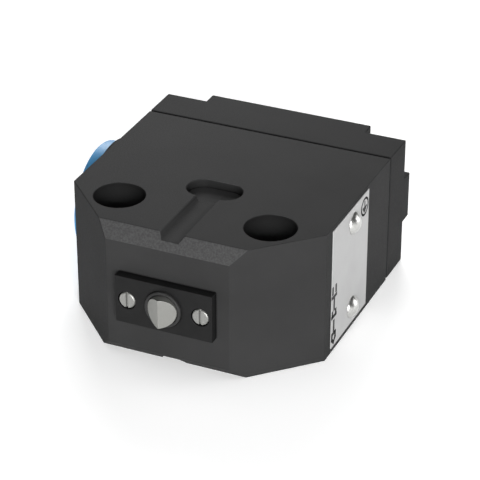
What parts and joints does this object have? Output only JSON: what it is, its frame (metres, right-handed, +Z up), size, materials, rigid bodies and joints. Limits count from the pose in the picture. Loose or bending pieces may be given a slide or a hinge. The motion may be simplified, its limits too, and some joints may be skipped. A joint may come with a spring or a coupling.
{
  "type": "mechanical limit switch",
  "caption": "Flat rectangular position switch with a sprung roof plunger, two through mounting holes, a side cable entry and a bolted rear cover.",
  "frame": {"origin": "on the bottom mounting face, midway between the axes of the two mounting holes", "axes": "+Z up, square to the mounting face; +Y from the plunger's face to the rear cover, along the plunger's axis; +X towards the nameplate"},
  "size_m": [0.0644, 0.0697, 0.0304],
  "materials": {
    "black_cast_aluminium": "matte black coated die casting, fine grain",
    "cover_cast_aluminium": "matte black coated die casting, fine grain",
    "black_plate": "satin black",
    "stainless_steel": "ground and hardened",
    "bright_screw_steel": "zinc plated",
    "spring_steel": "drawn wire",
    "black_rubber": "matte",
    "sintered_bronze": "oiled, porous",
    "brass_strip": "stamped",
    "contact_silver": "satin",
    "green_thermoset": "moulded",
    "red_plastic": "moulded",
    "blue_plastic": "moulded polyamide",
    "green_screw": "green passivated",
    "label_aluminium": "satin anodised",
    "rivet_steel": "polished"
  },
  "bodies": {
    "housing_unit": {"housing": "black_cast_aluminium", "rear_cover": "cover_cast_aluminium", "cover_gasket": "black_rubber", "cover_screws": "spring_steel", "guide_plate": "black_plate", "guide_plate_screws": "bright_screw_steel", "wiper_ring": "black_rubber", "guide_bush": "sintered_bronze", "return_spring": "spring_steel", "spring_seat": "stainless_steel", "retaining_ring": "spring_steel", "switch_base": "green_thermoset", "switch_lid": "green_thermoset", "bridge_spring": "spring_steel", "closed_contacts": "brass_strip", "open_contacts": "brass_strip", "terminal_screws": "bright_screw_steel", "terminal_clamps": "bright_screw_steel", "switch_screws": "bright_screw_steel", "earth_screw": "green_screw", "earth_clamp": "bright_screw_steel", "blanking_plug": "blue_plastic", "plug_seal": "black_rubber", "nameplate": "label_aluminium", "nameplate_rivets": "rivet_steel"},
    "plunger_unit": {"plunger": "stainless_steel", "plunger_o_ring": "black_rubber", "guide_pin": "stainless_steel"},
    "button_unit": {"switch_button": "red_plastic", "contact_spring": "spring_steel"},
    "bridge_unit": {"contact_bridge": "brass_strip", "bridge_contacts": "contact_silver"}
  },
  "joints": [
    {"name": "plunger_slide", "type": "slide", "parent": "housing_unit", "child": "plunger_unit", "axis": [0, 1, 0], "range_m": [0, 0.0025], "stiffness_N_per_m": 1500, "springref_m": -0.003, "deforming": ["return_spring"]},
    {"name": "button_slide", "type": "slide", "parent": "housing_unit", "child": "button_unit", "axis": [0, 1, 0], "range_m": [0, 0.0025], "deforming": ["contact_spring"]},
    {"name": "bridge_slide", "type": "slide", "parent": "housing_unit", "child": "bridge_unit", "axis": [0, 1, 0], "range_m": [0, 0.001], "deforming": ["bridge_spring"]}
  ],
  "couplings": [
    {"joint": "button_slide", "follows": "plunger_slide", "ratio": 1},
    {"joint": "bridge_slide", "follows": "plunger_slide", "ratio": 0.4}
  ]
}
